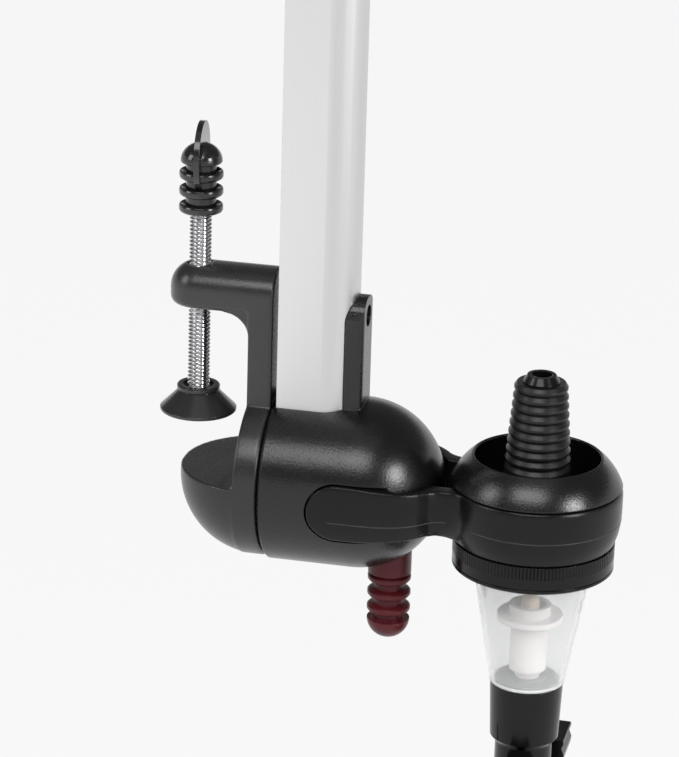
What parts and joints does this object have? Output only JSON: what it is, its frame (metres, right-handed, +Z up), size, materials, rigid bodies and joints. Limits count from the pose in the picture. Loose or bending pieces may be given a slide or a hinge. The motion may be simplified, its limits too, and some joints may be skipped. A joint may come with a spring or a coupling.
{
  "type": "liquor dispenser stand",
  "caption": "Table-clamped stand that holds a bottle upside down in a ring with a stopper, a clear measuring chamber and a push-up spout, on a head that swivels and locks.",
  "frame": {"origin": "on the flat top face of the lower jaw, straight below the clamp screw's axis", "axes": "+Z up along the clamp screw and the post, +X outward from the table towards the bottle's ring, Y across; Y = 0 is the plane through screw, post and bottle"},
  "size_m": [0.1657, 0.064, 0.5085],
  "materials": {
    "satin_black": "satin, finely grained",
    "gloss_black": "glossy",
    "maroon": "satin",
    "rubber": "matte",
    "zinc": "bright zinc plated",
    "black_steel": "blackened",
    "spring_steel": "drawn wire",
    "drum_metal": "turned",
    "alloy": "satin anodised",
    "acetal": "smooth",
    "clear": "clear, polished",
    "silicone": "smooth",
    "silicone_grey": "smooth"
  },
  "bodies": {
    "clamp_base": {"clamp_frame": "satin_black", "clamp_nut": "zinc", "pivot_spindle": "zinc", "spindle_screws": "zinc", "thrust_washer": "zinc", "brake_drum": "drum_metal", "drum_screw": "zinc"},
    "clamp_pad": {"foot_pad": "gloss_black"},
    "clamp_screw": {"clamp_rod": "zinc", "thumb_knob": "gloss_black"},
    "swivel_head": {"head_shell": "satin_black", "bearing_sleeve": "acetal", "sleeve_screws": "zinc", "post": "alloy", "post_screw": "black_steel", "yoke": "satin_black", "cup_cap": "satin_black", "stopper": "rubber", "inlet_tube": "gloss_black", "tube_nut": "gloss_black", "collar_nut": "gloss_black", "chamber_seal": "rubber", "chamber": "clear", "nozzle": "gloss_black", "top_bracket": "satin_black", "bracket_screws": "zinc", "guide_bush": "acetal"},
    "lock": {"lock_knob": "maroon", "lock_pin": "zinc", "lock_shoe": "acetal", "lock_spring": "spring_steel"},
    "valve": {"valve_stem": "acetal", "inlet_seal": "silicone", "outlet_seal": "silicone_grey", "push_bar": "gloss_black", "push_bar_screw": "zinc", "return_spring": "spring_steel"},
    "bottle_rest": {"rest_rod": "zinc", "rest_pad": "rubber", "rest_knob": "maroon", "rest_spring": "spring_steel"}
  },
  "joints": [
    {"name": "clamp_feed", "type": "slide", "parent": "clamp_base", "child": "clamp_pad", "axis": [0, 0, 1], "range_m": [-0.0165, 0.0297]},
    {"name": "clamp_turn", "type": "hinge", "parent": "clamp_pad", "child": "clamp_screw", "pos_m": [0, 0, 0.0276], "axis": [0, 0, 1], "range_deg": [-4215, 7585]},
    {"name": "head_turn", "type": "hinge", "parent": "clamp_base", "child": "swivel_head", "pos_m": [0.0292, 0, -0.0028], "axis": [1, 0, 0], "range_deg": [0, 180]},
    {"name": "lock_pull", "type": "slide", "parent": "swivel_head", "child": "lock", "axis": [0, 0, -1], "range_m": [0, 0.004], "stiffness_N_per_m": 1200, "springref_m": -0.003, "deforming": ["lock_spring"]},
    {"name": "dispense_push", "type": "slide", "parent": "swivel_head", "child": "valve", "axis": [0, 0, 1], "range_m": [0, 0.009], "stiffness_N_per_m": 500, "springref_m": -0.006, "deforming": ["return_spring"]},
    {"name": "rest_lift", "type": "slide", "parent": "swivel_head", "child": "bottle_rest", "axis": [0, 0, 1], "range_m": [0, 0.03], "stiffness_N_per_m": 250, "springref_m": -0.02, "deforming": ["rest_spring"]}
  ],
  "couplings": [
    {"joint": "clamp_turn", "follows": "clamp_feed", "rad_per_m": 4453}
  ]
}
